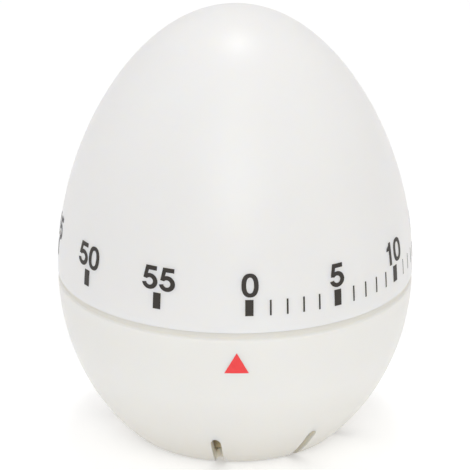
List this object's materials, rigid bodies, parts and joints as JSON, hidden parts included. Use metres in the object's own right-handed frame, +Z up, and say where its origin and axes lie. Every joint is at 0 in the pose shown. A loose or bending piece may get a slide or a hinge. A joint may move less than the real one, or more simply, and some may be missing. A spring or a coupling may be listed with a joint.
{
  "type": "kitchen timer",
  "caption": "Wind-up kitchen timer shaped like an egg: the upper shell is the minute dial, and the movement rings a bell in the lower shell.",
  "frame": {"origin": "centre of the base, on the surface the timer stands on", "axes": "+Z up along the egg's axis; the pointer on the lower shell faces -Y"},
  "size_m": [0.06, 0.06, 0.075],
  "materials": {
    "white_plastic": "smooth moulded plastic, soft gloss",
    "inner_plastic": "plain moulded plastic",
    "zinc_plated_plate": "yellow zinc plated sheet",
    "bell_metal": "drawn sheet, satin",
    "brass": "stamped brass",
    "steel": "turned or stamped steel"
  },
  "bodies": {
    "case": {"lower_shell": "white_plastic", "bottom_plate": "zinc_plated_plate", "top_plate": "zinc_plated_plate", "plate_pillars": "steel", "lower_plate_screws": "steel", "upper_plate_screws": "steel", "case_screws": "steel", "bell": "bell_metal", "bell_post": "steel", "bell_post_rivets": "steel", "bell_screw": "steel", "mainspring": "steel", "spring_anchor_post": "steel", "stop_pin": "steel", "lower_bush": "brass", "upper_bush": "brass", "hammer_spring": "steel", "hammer_spring_stud": "steel"},
    "dial": {"upper_shell": "white_plastic", "dial_carrier": "inner_plastic", "carrier_screws": "steel", "main_arbor": "steel", "ratchet_wheel": "steel", "alarm_cam": "brass", "cam_spacer": "brass", "stop_arm": "steel"},
    "main_wheel_set": {"main_wheel": "brass", "click_stud": "steel", "click_spring": "steel", "click_spring_stud": "steel"},
    "click": {"click": "steel"},
    "second_wheel_set": {"second_arbor": "steel", "second_pinion": "steel", "second_wheel": "brass"},
    "third_wheel_set": {"third_arbor": "steel", "third_pinion": "steel", "third_wheel": "brass", "strike_star": "steel"},
    "escape_wheel_set": {"escape_arbor": "steel", "escape_pinion": "steel", "escape_wheel": "brass"},
    "pallet": {"pallet_arbor": "steel", "pallet_lever": "brass", "pallet_pins": "steel", "balance_bar": "brass"},
    "hammer": {"hammer_arbor": "steel", "hammer_arm": "steel", "hammer_head": "brass", "hammer_tail": "steel", "cam_follower": "steel"}
  },
  "joints": [
    {"name": "dial_turn", "type": "hinge", "parent": "case", "child": "dial", "pos_m": [0, 0, 0], "axis": [0, 0, 1], "range_deg": [-350, 0]},
    {"name": "main_wheel_turn", "type": "hinge", "parent": "case", "child": "main_wheel_set", "pos_m": [0, 0, 0], "axis": [0, 0, 1], "range_deg": [-350, 0]},
    {"name": "click_swing", "type": "hinge", "parent": "main_wheel_set", "child": "click", "pos_m": [-0.0088, 0, 0], "axis": [0, 0, 1], "range_deg": [0, 4.5], "stiffness_Nm_per_rad": 0.0002},
    {"name": "second_wheel_turn", "type": "hinge", "parent": "case", "child": "second_wheel_set", "pos_m": [0, 0.0144, 0], "axis": [0, 0, 1], "continuous": true},
    {"name": "third_wheel_turn", "type": "hinge", "parent": "case", "child": "third_wheel_set", "pos_m": [0.00835, 0.01246, 0], "axis": [0, 0, 1], "continuous": true},
    {"name": "escape_wheel_turn", "type": "hinge", "parent": "case", "child": "escape_wheel_set", "pos_m": [0.01327, 0.007, 0], "axis": [0, 0, 1], "continuous": true},
    {"name": "pallet_rock", "type": "hinge", "parent": "case", "child": "pallet", "pos_m": [0.01659, 0.00189, 0], "axis": [0, 0, 1], "range_deg": [-7, 7]},
    {"name": "hammer_swing", "type": "hinge", "parent": "case", "child": "hammer", "pos_m": [0.01624, 0.01363, 0], "axis": [0, 0, 1], "range_deg": [0, 3], "stiffness_Nm_per_rad": 0.001}
  ],
  "couplings": [
    {"joint": "main_wheel_turn", "follows": "dial_turn", "ratio": 1},
    {"joint": "second_wheel_turn", "follows": "dial_turn", "ratio": -7},
    {"joint": "third_wheel_turn", "follows": "dial_turn", "ratio": 42},
    {"joint": "escape_wheel_turn", "follows": "dial_turn", "ratio": -252}
  ]
}
